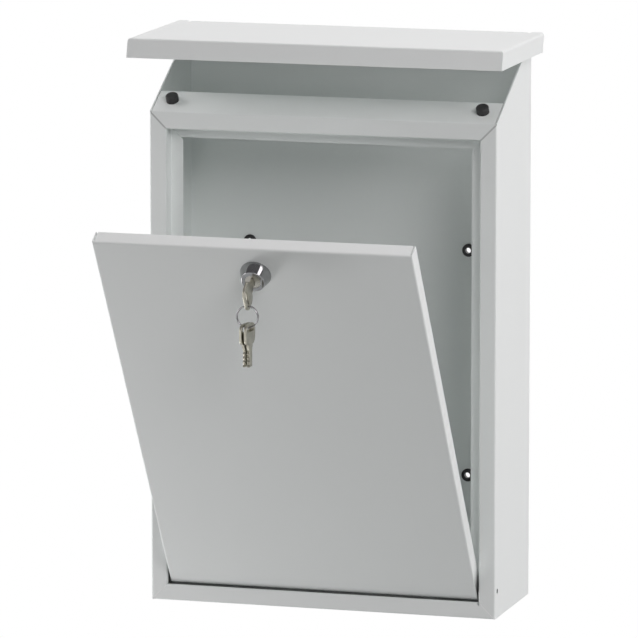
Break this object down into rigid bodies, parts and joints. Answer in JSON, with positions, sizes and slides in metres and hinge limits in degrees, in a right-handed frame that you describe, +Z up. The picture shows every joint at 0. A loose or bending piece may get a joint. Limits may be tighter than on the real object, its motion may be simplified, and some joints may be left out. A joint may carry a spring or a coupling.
{
  "type": "wall-mounted letterbox",
  "caption": "Wall-mounted letterbox of white folded sheet steel, with a sloped lift-up lid over the mail inlet, a drop-down front door on pins and a cam lock with keys on a ring.",
  "frame": {"origin": "centre of the four wall screw holes, in the plane of the wall", "axes": "+X to the right of someone facing the box, +Y into the wall, +Z up"},
  "size_m": [0.3008, 0.3134, 0.4475],
  "materials": {
    "white_coat": "satin powder coat",
    "black_rubber": "moulded, satin",
    "chrome": "polished plate",
    "nickel": "nickel plated, worn satin",
    "ring_steel": "nickel plated",
    "zinc_steel": "zinc plated",
    "dark_steel": "blackened"
  },
  "bodies": {
    "cabinet": {"cabinet_wrap": "white_coat", "top_rail": "white_coat", "floor_pan": "white_coat", "hinge_leaf_left": "white_coat", "hinge_leaf_right": "white_coat", "lid_hinge_rod": "zinc_steel", "door_pin_left": "dark_steel", "door_pin_right": "dark_steel", "lid_buffer_left": "black_rubber", "lid_buffer_right": "black_rubber", "grommet_lower_left": "black_rubber", "grommet_upper_left": "black_rubber", "grommet_lower_right": "black_rubber", "grommet_upper_right": "black_rubber"},
    "lid": {"lid": "white_coat"},
    "door": {"door_panel": "white_coat", "lock_housing": "chrome", "lock_nut": "zinc_steel"},
    "lock_plug": {"lock_plug": "nickel", "lock_cam": "zinc_steel", "cam_washer": "zinc_steel", "cam_screw": "zinc_steel"},
    "key": {"key": "nickel"},
    "key_ring": {"key_ring": "ring_steel"},
    "spare_key_left": {"spare_key_left": "nickel"},
    "spare_key_right": {"spare_key_right": "nickel"}
  },
  "joints": [
    {"name": "door_hinge", "type": "hinge", "parent": "cabinet", "child": "door", "pos_m": [0, -0.0988, -0.16177], "axis": [1, 0, 0], "range_deg": [-32.8, 0]},
    {"name": "lid_hinge", "type": "hinge", "parent": "cabinet", "child": "lid", "pos_m": [0, -0.00525, 0.26145], "axis": [-1, 0, 0], "range_deg": [-27.29, 85]},
    {"name": "lock_turn", "type": "hinge", "parent": "door", "child": "lock_plug", "pos_m": [0, -0.28167, 0.10925], "axis": [0, -0.8406, -0.5417], "range_deg": [0, 90]},
    {"name": "key_slide", "type": "slide", "parent": "lock_plug", "child": "key", "axis": [0, -0.8406, -0.5417], "range_m": [-0.005, 0.0095]},
    {"name": "ring_swing", "type": "hinge", "parent": "key", "child": "key_ring", "pos_m": [0, -0.30306, 0.08807], "axis": [1, 0, 0], "range_deg": [-25, 33]},
    {"name": "spare_left_swing", "type": "hinge", "parent": "key_ring", "child": "spare_key_left", "pos_m": [-0.00156, -0.30306, 0.07182], "axis": [0.9945, -0.1045, 0], "range_deg": [-20, 20]},
    {"name": "spare_right_swing", "type": "hinge", "parent": "key_ring", "child": "spare_key_right", "pos_m": [0.00156, -0.30306, 0.07182], "axis": [0.9994, -0.0349, 0], "range_deg": [-20, 20]}
  ]
}
